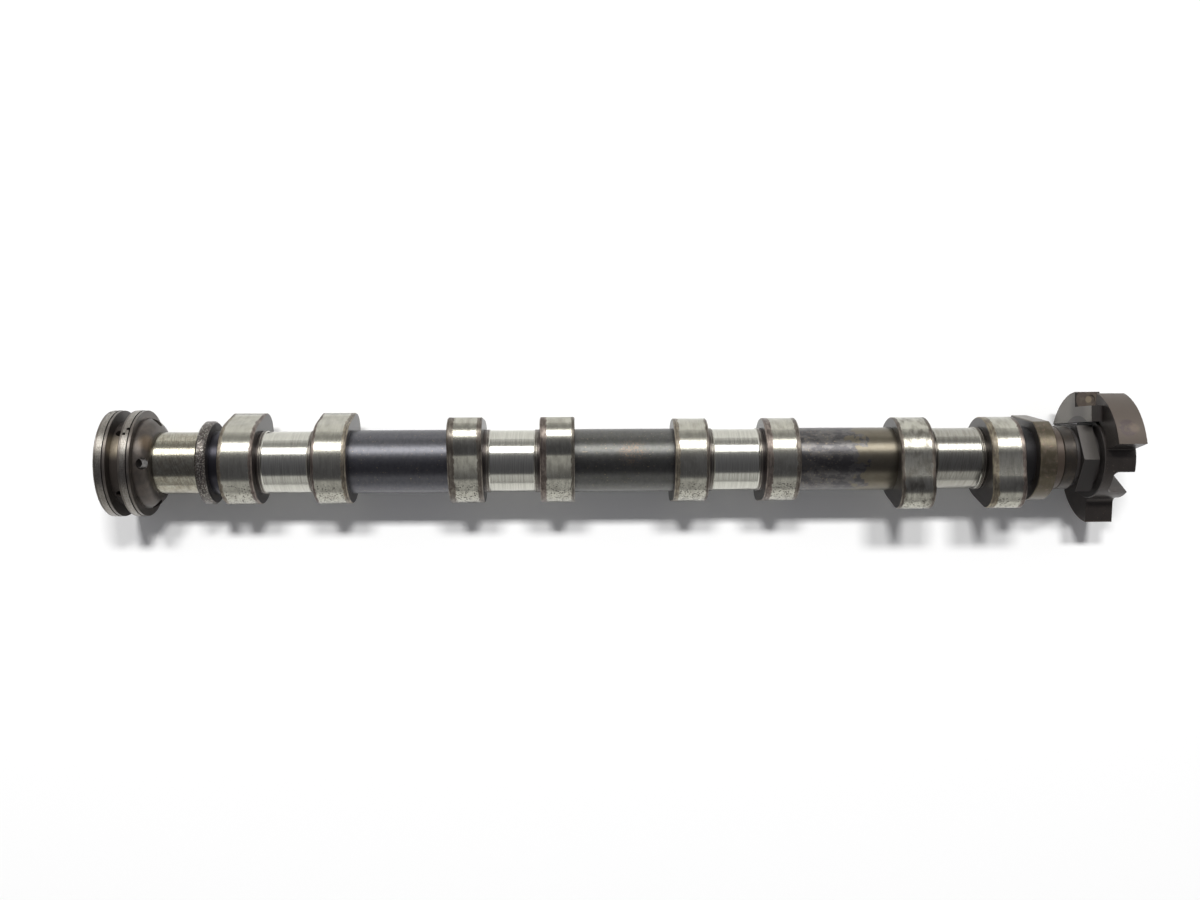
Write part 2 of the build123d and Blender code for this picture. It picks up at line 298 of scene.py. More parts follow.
def filmed(tree, colour, roughness, metal, films):
    """Films over a ground, the lowest first.

    Each film has a mask, its cover, colour, roughness and share of metal. A share of metal that
    is the same all over stays a plain number.
    """
    colour = srgb(colour)
    for mask, cover, film, film_roughness, film_metal in films:
        share = add(tree, "Math", {0: mask, 1: cover}, operation="MULTIPLY")
        colour = add(tree, "MixRGB", {"Fac": share, "Color1": colour, "Color2": srgb(film)})
        roughness = add(
            tree, "MapRange", {"Value": share, "To Min": roughness, "To Max": film_roughness}
        )
        if metal != film_metal:
            metal = add(tree, "MapRange", {"Value": share, "To Min": metal, "To Max": film_metal})
    return {"Base Color": colour, "Roughness": roughness, "Metallic": metal}


def make_finish(name, build):
    """A material that a function builds.

    The function gives its surface, its relief, the depth of that in millimetres, and for a
    ground shape its normal.
    """
    material = bpy.data.materials.new(name)
    material.use_nodes = True
    tree = material.node_tree
    tree.nodes.clear()
    position, along = place_on_shaft(tree)
    surface, relief, depth, *shape = build(tree, position, along)
    relief_inputs = {"Height": relief, "Strength": 1.0, "Distance": depth * MM}
    if shape:
        relief_inputs["Normal"] = shape[0]
    normal = add(tree, "Bump", relief_inputs)
    shader = add(tree, "BsdfPrincipled", {**surface, "Normal": normal})
    add(tree, "OutputMaterial", {"Surface": shader})
    return material


# Cams ---------------------------------------------------------------------------------------

# Where the noses of each cylinder's cams point, from +Y towards +Z.
NOSE_ANGLES = (-37.0, 53.0, 233.0, 143.0)
# The ground profile, by angles from the nose: where a flank starts and ends, and which way it
# faces at its end. Then how far the nose's centre is from the axis.
FLANK_START = 60.0
FLANK_END = 33.0
NOSE_START = 65.0
NOSE_CENTRE = 10.6
# A face that leans along the shaft by more than this is a side or a bevel.
LEAN_LIMIT = 0.2

# For each cam, how wide the oil film is along its front and its rear edge, the colour of each
# film, and how stained the bright track between them is.
CAM_BANDS = (
    (1.4, 1.3, FILM_TAN, FILM_RED, 0.3),
    (1.1, 1.7, FILM_RED, FILM_TAN, 0.3),
    (2.6, 1.8, FILM_BROWN, FILM_BROWN, 0.45),
    (2.4, 1.3, FILM_RED, FILM_OLIVE, 0.4),
    (1.8, 1.2, FILM_TAN, FILM_BROWN, 0.35),
    (2.4, 1.7, FILM_RED, FILM_BROWN, 0.35),
    (1.2, 1.4, FILM_BROWN, FILM_BROWN, 0.85),
    (2.4, 1.6, FILM_GOLD, FILM_RED, 0.45),
)
FILM_EDGE_REACH = 0.35
FILM_EDGE_WAVES = 2.0
FILM_BREAKS = (1.2, 2.5)
# A thin dark line runs inside each edge: its start and its end, from the edge.
EDGE_LINE = (0.5, 0.8)

# Grinding lines are really about 0.02 mm apart and pits about 0.1 mm across. Both are too fine
# to show, so they are drawn as coarse as they need to show. The lines have their real depth.
CAM_GRINDING = (0.25, 9.0)
GRINDING_DEPTH = 0.002
PIT_SPACING = 0.75
# The radius of a pit is a share of their spacing.
PIT_RADIUS_SHARE = 0.4
PIT_CLUMPS = (1.6, 1.6)
CAM_STAINS = (2.2, 4.5)
LOW_SIDE = (0.0, -0.9, 0.44)


def ground_profile(tree, position, nose):
    """The normal of the ground profile: base circle, slightly hollow flanks and a blunt nose.

    It sets where the bands of light lie on a cam. It moves no outline.
    """
    turn = radians(nose)
    nose_way = (0.0, cos(turn), sin(turn))
    side_way = (0.0, -sin(turn), cos(turn))
    reach = add(tree, "VectorMath", {0: position, 1: nose_way}, operation="DOT_PRODUCT")
    reach = reach.outputs["Value"]
    aside = add(tree, "VectorMath", {0: position, 1: side_way}, operation="DOT_PRODUCT")
    aside = aside.outputs["Value"]
    off = add(tree, "Math", {0: aside}, operation="ABSOLUTE")
    beyond = add(tree, "Math", {0: reach, 1: NOSE_CENTRE * MM}, operation="SUBTRACT")
    about_axis = add(tree, "Math", {0: off, 1: reach}, operation="ARCTAN2")
    about_nose = add(tree, "Math", {0: off, 1: beyond}, operation="ARCTAN2")
    flank = add(
        tree,
        "MapRange",
        {
            "Value": about_axis,
            "From Min": radians(FLANK_START),
            "From Max": radians(FLANK_END),
            "To Min": radians(FLANK_START),
            "To Max": radians(NOSE_START),
        },
    )
    outer = add(tree, "Math", {0: about_axis, 1: flank}, operation="MAXIMUM")
    angle = add(tree, "Math", {0: outer, 1: about_nose}, operation="MINIMUM")
    ahead = add(tree, "Math", {0: angle}, operation="COSINE")
    sideways = add(tree, "Math", {0: angle}, operation="SINE")
    side = add(tree, "Math", {0: aside}, operation="SIGN")
    signed = add(tree, "Math", {0: sideways, 1: side}, operation="MULTIPLY")
    along_nose = add(tree, "VectorMath", {0: nose_way, "Scale": ahead}, operation="SCALE")
    along_side = add(tree, "VectorMath", {0: side_way, "Scale": signed}, operation="SCALE")
    ground = add(tree, "VectorMath", {0: along_nose, 1: along_side}, operation="ADD")
    own = add(tree, "TexCoord", {}).outputs["Normal"]
    split = add(tree, "SeparateXYZ", {"Vector": own})
    lean = add(tree, "Math", {0: split.outputs["X"]}, operation="ABSOLUTE")
    round_face = add(tree, "Math", {0: lean, 1: LEAN_LIMIT}, operation="LESS_THAN")
    return add(tree, "MixRGB", {"Fac": round_face, "Color1": own, "Color2": ground})


def ground_cam_steel(number):
    """Hardened steel, ground and run in, with oil baked on along both edges.

    To the eye: a bright track with a narrow highlight and fine lines round it, dull pits and
    stains low on its side, brown edges and nearly black sides.
    """
    start, end = CAM_SPANS[number - 1]
    front, rear, front_film, rear_film, stained = CAM_BANDS[number - 1]
    nose = NOSE_ANGLES[(number - 1) // 2]
    line_start, line_end = EDGE_LINE

    def build(tree, position, along):
        lines = blotches(tree, position, CAM_GRINDING, 0.52, 0.3)
        stains = blotches(tree, position, CAM_STAINS, 0.53, 0.35, seed=number + 9)
        # Pits come in clumps, where the side of the track is worn.
        clumps = blotches(tree, position, PIT_CLUMPS, 0.46, 0.3, seed=number)
        low_side = facing(tree, LOW_SIDE, 0.8, 0.9)
        worn_side = add(tree, "Math", {0: clumps, 1: low_side}, operation="MULTIPLY")
        specks = dots(tree, position, PIT_SPACING, PIT_RADIUS_SHARE, 0.25)
        pits = add(tree, "Math", {0: specks, 1: worn_side}, operation="MULTIPLY")
        # The film along an edge is wavy, and darker in places.
        wavy = wandering(tree, along, position, FILM_EDGE_REACH, FILM_EDGE_WAVES)
        front_band = band(tree, wavy, start - BEYOND, start + front, 0.4)
        rear_band = band(tree, wavy, end - rear, end + BEYOND, 0.4)
        uneven = blotches(tree, position, FILM_BREAKS, 0.48, 0.25, seed=number)
        front_dark = add(tree, "Math", {0: front_band, 1: uneven}, operation="MULTIPLY")
        rear_dark = add(tree, "Math", {0: rear_band, 1: uneven}, operation="MULTIPLY")
        front_line = band(tree, along, start + line_start, start + line_end, 0.25)
        rear_line = band(tree, along, end - line_end, end - line_start, 0.25)
        # Mask, cover, colour, roughness, share of metal.
        films = [
            (lines, 0.3, SCRATCHED_STEEL, 0.24, 1.0),
            (stains, stained, STAIN_GREY, 0.28, 1.0),
            (pits, 0.85, PIT_GREY, 0.4, 1.0),
            (front_band, 0.75, front_film, 0.36, 0.9),
            (rear_band, 0.75, rear_film, 0.36, 0.9),
            (front_dark, 0.6, FILM_DARK, 0.4, 0.8),
            (rear_dark, 0.6, FILM_DARK, 0.4, 0.8),
            (front_line, 0.5, FILM_DARK, 0.4, 0.8),
            (rear_line, 0.5, FILM_DARK, 0.4, 0.8),
            (facing(tree, REARWARDS), 1.0, SIDE_VARNISH, 0.3, 0.0),
            (facing(tree, FRONTWARDS), 1.0, SIDE_VARNISH, 0.3, 0.0),
        ]
        profile = ground_profile(tree, position, nose)
        return filmed(tree, CAM_STEEL, 0.19, 1.0, films), lines, GRINDING_DEPTH, profile

    return make_finish(f"ground_cam_steel_{number}", build)


# Tube ---------------------------------------------------------------------------------------

# Every cylinder has the same journal between two cams. From the middle of a cylinder: the inner
# and the outer side of its cams, and the end of its journal, where the seat of a cam starts.
CAM_INNER = CYLINDER_1 - CAM_SPANS[0][1]
CAM_OUTER = CYLINDER_1 - CAM_SPANS[0][0]
SEAT_WIDTH = 2.1
JOURNAL_END = CAM_INNER - SEAT_WIDTH
# Two fine grooves at each seat are drawn as light lines, a painted highlight on their edges.
GROOVE_START = JOURNAL_END + 0.1
GROOVE_WIDTH = 0.3
GROOVE_PITCH = 0.65

# Grinding lines are really about 0.02 mm apart, too fine to show, and drawn coarser.
JOURNAL_GRINDING = (0.25, 12.0)
SLANTED_LINES = (0.6, 9.0)
SLANTED_TURN = -12.0
# The front journal is mottled, and scored aslant.
FRONT_MOTTLE = (0.7, 0.9)
FRONT_SCORES = (0.4, 6.0)
FRONT_SCORES_TURN = 20.0
# The raw tube: clouds and dull places in its scale, flecks, and streaks at the seats.
SCALE_CLOUDS = (2.2, 2.2)
SCALE_DULL = (1.1, 1.6)
SCALE_FLECKS = (0.9, 0.6)
SEAT_STREAKS = (0.5, 4.0)
# A few crumbs of rust on the second stretch.
RUST_PLACE = (195.5, 3.0, 11.5)
RUST_RADIUS = 4.5
RUST_CRUMBS = (0.6, 0.6)
# The third stretch is dusty at its front end, and olive with a ragged edge at its rear end.
THIRD_FILM = (4.0, 2.5)
DUST_REACH = 14.0
DUST_GRAINS = (0.8, 0.8)
OLIVE_REACH = 14.0
OLIVE_UNDER_CAM = 9.0
OLIVE_RAGGED = 6.0


def drawn_tube_steel():
    """Drawn steel tube under its own scale, ground at the journals.

    To the eye: satin and nearly black between the cylinders, with a broad soft highlight; the
    journals are bright, with a sharp highlight broken up by fine lines round them.
    """

    def build(tree, position, along):
        # The distance from the middle of whichever cylinder is the nearest.
        shifted = add(tree, "Math", {0: along, 1: CYLINDER_1}, operation="SUBTRACT")
        out = add(tree, "Math", {0: shifted, 1: CYLINDER_PITCH / 2}, operation="PINGPONG")
        front = band(tree, along, TUBE_START, COLLAR_START, 0.2)
        journals = band(tree, out, -BEYOND, JOURNAL_END, 0.2)
        ground = add(tree, "Math", {0: journals, 1: front}, operation="MAXIMUM")
        lines = blotches(tree, position, JOURNAL_GRINDING, 0.52, 0.3)
        ground_lines = add(tree, "Math", {0: ground, 1: lines}, operation="MULTIPLY")
        slanted = blotches(
            tree, position, SLANTED_LINES, 0.54, 0.16, seed=7, turn=SLANTED_TURN
        )
        last = band(tree, along, *LAST_JOURNAL, 0.5)
        last_streaks = add(tree, "Math", {0: last, 1: slanted}, operation="MULTIPLY")

        clouds = blotches(tree, position, SCALE_CLOUDS, 0.5, 0.25)
        mottle = blotches(tree, position, FRONT_MOTTLE, 0.52, 0.14, seed=6)
        scores = blotches(
            tree, position, FRONT_SCORES, 0.55, 0.1, seed=3, turn=FRONT_SCORES_TURN
        )
        front_mottle = add(tree, "Math", {0: front, 1: mottle}, operation="MULTIPLY")
        front_stain = add(tree, "Math", {0: front, 1: clouds}, operation="MULTIPLY")
        front_scores = add(tree, "Math", {0: front, 1: scores}, operation="MULTIPLY")

        seats = band(tree, out, JOURNAL_END, CAM_OUTER, 0.2)
        streaks = blotches(tree, position, SEAT_STREAKS, 0.55, 0.1, seed=2)
        seat_streaks = add(tree, "Math", {0: seats, 1: streaks}, operation="MULTIPLY")
        groove_glint = band(tree, out, GROOVE_START, GROOVE_START + GROOVE_WIDTH, 0.15)
        next_start = GROOVE_START + GROOVE_PITCH
        next_groove_glint = band(tree, out, next_start, next_start + GROOVE_WIDTH, 0.15)

        second = band(tree, along, *SECOND_STRETCH, 1.0)
        dull = blotches(tree, position, SCALE_DULL, 0.53, 0.12, seed=8)
        flecks = blotches(tree, position, SCALE_FLECKS, 0.72, 0.04, detail=1.0)
        rust_place = patch(tree, position, RUST_PLACE, RUST_RADIUS, 5.0)
        crumbs = blotches(tree, position, RUST_CRUMBS, 0.54, 0.08, detail=2.0, seed=11)
        rust = add(tree, "Math", {0: rust_place, 1: crumbs}, operation="MULTIPLY")

        third_start, third_end = THIRD_STRETCH
        third = band(tree, along, third_start, third_end, 1.0)
        slow = blotches(tree, position, THIRD_FILM, 0.5, 0.12, seed=4)
        third_film = add(tree, "Math", {0: third, 1: slow}, operation="MULTIPLY")
        dusty = band(tree, along, third_start, third_start + DUST_REACH, 6.0)
        dust = blotches(tree, position, DUST_GRAINS, 0.62, 0.05, detail=4.0, seed=5)
        third_dust = add(tree, "Math", {0: dusty, 1: dust}, operation="MULTIPLY")
        ragged = wandering(tree, along, position, OLIVE_RAGGED, OLIVE_RAGGED)
        olive_start = third_end - OLIVE_REACH
        third_olive = band(tree, ragged, olive_start, third_end + OLIVE_UNDER_CAM, 1.5)

        # The tube behind the collar is black: black oil, and painted shade in the narrow gap
        # before cam 1.
        oil_and_shade_behind_collar = band(tree, along, COLLAR_END, CAM_SPANS[0][0], 0.3)
        # The narrow gap before the timing block is painted near-black: painted shade.
        painted_shade_before_block = band(tree, along, CAM_SPANS[7][1], BLOCK_START, 0.3)
        tail = band(tree, along, BLOCK_END, TUBE_END + BEYOND, 0.3)
        # Mask, cover, colour, roughness, share of metal.
        films = [
            (second, 0.8, SCALE_OLIVE, 0.33, 1.0),
            (clouds, 0.25, SCALE_GREY, 0.34, 1.0),
            (dull, 0.15, BAND_BLACK, 0.36, 1.0),
            (flecks, 0.7, FLECK_TAN, 0.4, 1.0),
            (rust, 0.6, FLECK_RUST, 0.4, 1.0),
            (third, 0.35, FILM_OLIVE, 0.3, 1.0),
            (third_film, 0.5, BAND_BLACK, 0.34, 1.0),
            (third_dust, 0.5, FLECK_TAN, 0.4, 1.0),
            (third_olive, 0.75, TUBE_OLIVE, 0.3, 1.0),
            (seats, 0.75, SEAT_BROWN, 0.32, 1.0),
            (seat_streaks, 0.2, FILM_RED, 0.36, 1.0),
            (groove_glint, 0.85, GROOVE_GLINT_GREY, 0.25, 1.0),
            (next_groove_glint, 0.75, GROOVE_GLINT_GREY, 0.25, 1.0),
            (oil_and_shade_behind_collar, 0.95, BAND_BLACK, 0.3, 0.9),
            (painted_shade_before_block, 0.95, GAP_SHADE_BLACK, 0.5, 0.4),
            (tail, 0.9, TAIL_BROWN, 0.4, 0.4),
            (ground, 1.0, JOURNAL_STEEL, 0.16, 1.0),
            (ground_lines, 0.4, SCRATCHED_STEEL, 0.2, 1.0),
            (last, 0.45, STAIN_GREY, 0.2, 1.0),
            (last_streaks, 0.3, FILM_BROWN, 0.28, 1.0),
            (front, 0.9, FRONT_JOURNAL_STEEL, 0.15, 1.0),
            (front_mottle, 0.3, FILM_BROWN, 0.24, 1.0),
            (front_stain, 0.35, FILM_TAN, 0.22, 1.0),
            (front_scores, 0.3, FILM_DARK, 0.28, 1.0),
        ]
        return filmed(tree, SCALE_BLACK, 0.33, 1.0, films), lines, GRINDING_DEPTH

    return make_finish("drawn_tube_steel", build)


# Thrust collar, flange, seal rings and timing block -----------------------------------------

# Turning lines are really about 0.1 mm apart, too fine to show, and drawn coarser.
COLLAR_TURNING = (0.35, 6.0)
FLANGE_TURNING = (0.35, 9.0)
TURNING_DEPTH = 0.006
BLOCK_TURNING = (0.3, 7.0)
BLOCK_TURNING_DEPTH = 0.004

COLLAR_RUST = (0.5, 1.5)
COLLAR_SPECKS = (0.5, 0.5)

FLANGE_CLOUDS = (3.0, 3.0)
FLANGE_PITS = (0.5, 0.5)
# The oil gallery between the lands, and where the back of the flange starts.
GALLERY = (4.2, 8.8)
BACK_START = 12.85
# Tan patches: on the back beside an oil port, a painted warm highlight, and a stain in the
# gallery.
BACK_HIGHLIGHT_PLACE = (17.0, 7.5, 12.5)
BACK_HIGHLIGHT_RADIUS = 2.5
GALLERY_TAN_PLACE = (6.0, 6.5, 14.5)
GALLERY_TAN_RADIUS = 4.0

# The open grain of the iron is really about 0.1 mm across, too fine to show, and drawn coarser.
IRON_GRAIN = (0.35, 0.35)
IRON_GRAIN_DEPTH = 0.008
RING_STAINS = (2.0, 6.0)

BLOCK_STAINS = (2.5, 2.5)
BLOCK_SPOTS = (0.9, 0.9)


def turned_collar_steel():
    """Turned steel under burnt oil.

    To the eye: grey-brown with a dulled highlight, pale specks and rusty streaks round it.
    """

    def build(tree, position, along):
        turning = blotches(tree, position, COLLAR_TURNING, 0.5, 0.3)
        rust = blotches(tree, position, COLLAR_RUST, 0.58, 0.08)
        specks = blotches(tree, position, COLLAR_SPECKS, 0.57, 0.08, detail=1.0, seed=3)
        # Mask, cover, colour, roughness, share of metal.
        films = [
            (turning, 0.45, FILM_DARK, 0.38, 0.8),
            (rust, 0.3, FILM_RED, 0.38, 0.8),
            (specks, 0.7, COLLAR_SPECK, 0.34, 1.0),
            (facing(tree, REARWARDS), 0.9, SIDE_VARNISH, 0.35, 0.0),
        ]
        return filmed(tree, COLLAR_GREY, 0.32, 0.8, films), turning, TURNING_DEPTH

    return make_finish("turned_collar_steel", build)


def turned_flange_steel():
    """Turned steel under baked oil.

    To the eye: brown-grey lands with a soft highlight, and a darker gallery and back.
    """

    def build(tree, position, along):
        turning = blotches(tree, position, FLANGE_TURNING, 0.5, 0.3)
        clouds = blotches(tree, position, FLANGE_CLOUDS, 0.5, 0.25)
        pits = blotches(tree, position, FLANGE_PITS, 0.64, 0.05)
        back = band(tree, along, BACK_START, FLANGE_PLUG_END, 0.2)
        painted_back_highlight = patch(tree, position, BACK_HIGHLIGHT_PLACE, BACK_HIGHLIGHT_RADIUS, 4.0)
        gallery = band(tree, along, *GALLERY, 0.3)
        tan = patch(tree, position, GALLERY_TAN_PLACE, GALLERY_TAN_RADIUS, 4.0)
        gallery_tan = add(tree, "Math", {0: gallery, 1: tan}, operation="MULTIPLY")
        # Mask, cover, colour, roughness, share of metal.
        films = [
            (turning, 0.35, FILM_DARK, 0.42, 0.7),
            (back, 0.9, FLANGE_BACK, 0.36, 0.8),
            # Painted warm highlight beside the oil port.
            (painted_back_highlight, 0.6, FLANGE_HIGHLIGHT_TAN, 0.34, 0.9),
            (clouds, 0.3, FILM_BROWN, 0.42, 0.5),
            (gallery, 0.9, GALLERY_BROWN, 0.42, 0.4),
            (gallery_tan, 0.6, GALLERY_TAN, 0.36, 0.6),
            (pits, 0.4, PIT_GREY, 0.45, 0.5),
        ]
        return filmed(tree, LAND_GREY, 0.3, 1.0, films), turning, TURNING_DEPTH

    return make_finish("turned_flange_steel", build)


def ground_ring_iron():
    """Grey cast iron, finely ground.

    To the eye: a light, even grey metal, speckled by its open grain.
    """

    def build(tree, position, along):
        grain = blotches(tree, position, IRON_GRAIN, 0.52, 0.1, detail=2.0)
        stains = blotches(tree, position, RING_STAINS, 0.5, 0.2)
        # Mask, cover, colour, roughness, share of metal.
        films = [
            (stains, 0.25, FILM_BROWN, 0.34, 1.0),
            (grain, 0.6, RING_SPECK, 0.38, 1.0),
        ]
        return filmed(tree, RING_GREY, 0.31, 1.0, films), grain, IRON_GRAIN_DEPTH

    return make_finish("ground_ring_iron", build)


def varnished_block_steel():
    """Turned and milled steel under an even varnish of baked oil.

    To the eye: olive-yellow with a soft highlight, brown clouds and small pink-brown spots.
    """

    def build(tree, position, along):
        turning = blotches(tree, position, BLOCK_TURNING, 0.5, 0.3)
        stains = blotches(tree, position, BLOCK_STAINS, 0.55, 0.15)
        spots = blotches(tree, position, BLOCK_SPOTS, 0.64, 0.05, seed=5)
        # Mask, cover, colour, roughness, share of metal.
        films = [
            (turning, 0.25, FILM_DARK, 0.36, 0.5),
            (stains, 0.4, FILM_BROWN, 0.4, 0.5),
            (spots, 0.5, BLOCK_PINK, 0.4, 0.5),
            (facing(tree, FRONTWARDS), 0.9, SIDE_VARNISH, 0.35, 0.0),
        ]
        return filmed(tree, BLOCK_OLIVE, 0.3, 0.8, films), turning, BLOCK_TURNING_DEPTH

    return make_finish("varnished_block_steel", build)


# Drive end ----------------------------------------------------------------------------------

# The uneven skin that forging leaves, at its real size.
FORGED_SKIN = (0.9, 0.9)
FORGED_SKIN_DEPTH = 0.02
FORGED_CLOUDS = (4.0, 4.0)
FORGED_SPECKS = (0.7, 0.7)
NECK_STAINS = (2.5, 2.5)
STAIN_EDGES = (1.8, 1.8)

# Stretches along the shaft: the end of the neck, the undercuts on both sides of the hexagon,
# the hexagon, and the front face of the notched plate.
NECK_END = 362.9
FRONT_UNDERCUT = (362.4, 364.1)
REAR_UNDERCUT = (369.9, 371.4)
HEXAGON = (364.0, 369.9)
PLATE_FRONT = (366.0, 369.0)

# Distances from the axis: where the plate stands clear of the hub, and where the rim of the
# sensor teeth starts and is reached.
PLATE_INSIDE = 16.0
RIM_START = 24.9
RIM_REACHED = 25.2

# Which way the flat of the hexagon looks that is painted darker, as painted shade.
SHADED_FLAT = (0.0, -0.54, 0.84)

# Stains, each with its place and its radius; the notch patch paints the wall of the notch
# lighter, as painted light.
PLATE_OIL = (367.75, 18.0, 1.0), 6.0
LIT_NOTCH = (372.7, 22.3, -2.0), 4.4
NOTCH_DIMPLE = (373.2, 22.4, -2.0), 1.3
TOOTH_STAIN = (376.3, 11.0, 22.9), 3.4
TOOTH_SPOT = (378.6, 10.8, 23.0), 1.7


def forged_drive_end_steel():
    """Forged steel with machined flats, under burnt oil.

    To the eye: brown-black, satin and a little uneven, and greyer on the flats and the plate.
    """

    def build(tree, position, along):
        skin = grains(tree, position, FORGED_SKIN, detail=5.0)
        clouds = blotches(tree, position, FORGED_CLOUDS, 0.5, 0.3)
        specks = blotches(tree, position, FORGED_SPECKS, 0.68, 0.05)

        neck = band(tree, along, BLOCK_START, NECK_END, 0.3)
        stains = blotches(tree, position, NECK_STAINS, 0.5, 0.15)
        neck_stains = add(tree, "Math", {0: neck, 1: stains}, operation="MULTIPLY")
        shaded_front_undercut = band(tree, along, *FRONT_UNDERCUT, 0.3)
        shaded_rear_undercut = band(tree, along, *REAR_UNDERCUT, 0.3)
        hexagon = band(tree, along, *HEXAGON, 0.2)
        one_flat = facing(tree, SHADED_FLAT, 0.96, 0.98)
        painted_shade_flat = add(tree, "Math", {0: hexagon, 1: one_flat}, operation="MULTIPLY")

        across = add(tree, "VectorMath", {0: position, 1: (0.0, 1.0, 1.0)}, operation="MULTIPLY")
        radius = add(tree, "VectorMath", {0: across}, operation="LENGTH").outputs["Value"]
        rim = add(
            tree,
            "MapRange",
            {"Value": radius, "From Min": RIM_START * MM, "From Max": RIM_REACHED * MM},
        )
        clear = add(tree, "Math", {0: radius, 1: PLATE_INSIDE * MM}, operation="GREATER_THAN")
        plate = band(tree, along, *PLATE_FRONT, 0.3)
        plate_clear = add(tree, "Math", {0: plate, 1: clear}, operation="MULTIPLY")
        front_faces = facing(tree, FRONTWARDS)
        plate_face = add(tree, "Math", {0: front_faces, 1: plate_clear}, operation="MULTIPLY")

        ragged = blotches(tree, position, STAIN_EDGES, 0.46, 0.1, seed=4)
        plate_oil = patch(tree, position, *PLATE_OIL, 6.0)
        painted_light_notch = patch(tree, position, *LIT_NOTCH, 0.6)
        notch_stain = add(tree, "Math", {0: painted_light_notch, 1: ragged}, operation="MULTIPLY")
        dimple = patch(tree, position, *NOTCH_DIMPLE, 0.6)
        tooth_disc = patch(tree, position, *TOOTH_STAIN, 1.0)
        tooth_stain = add(tree, "Math", {0: tooth_disc, 1: ragged}, operation="MULTIPLY")
        tooth_spot = patch(tree, position, *TOOTH_SPOT, 1.6)
        # Mask, cover, colour, roughness, share of metal.
        films = [
            (clouds, 0.3, FORGED_DARK, 0.4, 0.6),
            (specks, 0.4, FILM_TAN, 0.42, 0.4),
            (neck, 0.9, NECK_BROWN, 0.34, 0.7),
            (neck_stains, 0.5, FORGED_DARK, 0.4, 0.6),
            (hexagon, 0.9, HEXAGON_GREY, 0.36, 0.6),
            # Painted shade: one flat of the hexagon darkened.
            (painted_shade_flat, 0.9, FORGED_DARK, 0.4, 0.5),
            (plate_face, 0.9, PLATE_GREY, 0.36, 0.6),
            (plate_oil, 0.45, FORGED_DARK, 0.4, 0.5),
            (rim, 0.9, TOOTH_BROWN, 0.55, 0.3),
            # Painted shade: the undercuts beside the hexagon are painted dark.
            (shaded_front_undercut, 0.8, FORGED_DARK, 0.5, 0.0),
            (shaded_rear_undercut, 0.8, FORGED_DARK, 0.5, 0.0),
            # Painted light: the notch wall made lighter.
            (painted_light_notch, 0.9, NOTCH_LIT_BROWN, 0.38, 0.5),
            (notch_stain, 0.3, TOOTH_PURPLE, 0.36, 0.5),
            (dimple, 0.7, FLECK_TAN, 0.38, 0.5),
            (tooth_stain, 0.5, TOOTH_PURPLE, 0.36, 0.5),
            (tooth_spot, 0.45, TOOTH_TAN, 0.45, 0.4),
        ]
        return filmed(tree, FORGED_BLACK, 0.36, 0.7, films), skin, FORGED_SKIN_DEPTH

    return make_finish("forged_drive_end_steel", build)


def dress_nodes():
    """Gives each piece of the shaft its own finish."""
    ring = ground_ring_iron()
    finishes = {
        "tube": drawn_tube_steel(),
        "thrust_collar": turned_collar_steel(),
        "front_flange": turned_flange_steel(),
        "seal_ring_front": ring,
        "seal_ring_rear": ring,
        "timing_block": varnished_block_steel(),
        "drive_end": forged_drive_end_steel(),
    }
    for number in range(1, len(CAM_SPANS) + 1):
        finishes[f"cam_{number}"] = ground_cam_steel(number)
    for name, material in finishes.items():
        mesh = nodes[name].data
        mesh.materials.clear()
        mesh.materials.append(material)


# Studio -------------------------------------------------------------------------------------

# The shaft lies on its front seal ring and on two corners of the drive end.
FRONT_REST = Vector((1.0, 0.0, -20.0)) * MM
REAR_REST = Vector((375.0, 0.0, -21.5)) * MM
FLOOR_SIZE = 2.4
TABLE_WHITE = "#f7f7f6"

# Lamp and room sizes are in metres and powers in watts. Angles are from straight up towards +Y.
LAMP_DISTANCE = 2.5
KEY_ANGLE = 28.5
KEY_LENGTH = 0.42
KEY_WIDTH = 0.23
KEY_SPREAD = 0.78
KEY_POWER = 33.0
STRIP_START = 32.5
STRIP_END = 55.0
STRIP_LENGTH = 4.0
STRIP_RADIANCE = 5.0

# The room: an angle from straight up towards +Y, how bright the room is there, and how blue.
ROOM = (
    (-90.0, 0.45, 1.0),
    (-75.0, 0.58, 1.0),
    (-54.0, 0.64, 1.0),
    (-50.0, 0.105, 1.1),
    (-40.0, 0.10, 1.12),
    (-20.0, 0.11, 1.12),
    (-8.0, 0.125, 1.12),
    (5.0, 0.15, 1.12),
    (20.0, 0.20, 1.1),
    (27.0, 0.33, 1.05),
    (60.0, 0.36, 1.0),
    (76.0, 0.42, 1.0),
    (82.0, 0.70, 1.0),
    (90.0, 0.70, 1.0),
)
# The walls beyond both ends of the shaft: how bright they are, and how far endways a direction
# points where they start and where they are reached.
END_WALL = 0.4
END_WALL_START = 0.7
END_WALL_REACHED = 0.9


def lay_floor():
    """A white table top that touches the shaft at both of its rests."""
    slope = (REAR_REST.z - FRONT_REST.z) / (REAR_REST.x - FRONT_REST.x)
    bpy.ops.object.select_all(action="DESELECT")
    bpy.ops.mesh.primitive_plane_add(size=FLOOR_SIZE)
    floor = bpy.context.object
    floor.name = "white_table"
    for vertex in floor.data.vertices:
        vertex.co.z = FRONT_REST.z + (vertex.co.x - FRONT_REST.x) * slope
    # Matt laminate: an even white that takes a soft shadow and shows no highlight.
    material = bpy.data.materials.new("white_laminate")
    material.use_nodes = True
    tree = material.node_tree
    tree.nodes.clear()
    shader = add(
        tree,
        "BsdfPrincipled",
        {"Base Color": srgb(TABLE_WHITE), "Roughness": 0.9, "Specular IOR Level": 0.0},
    )
    add(tree, "OutputMaterial", {"Surface": shader})
    floor.data.materials.append(material)


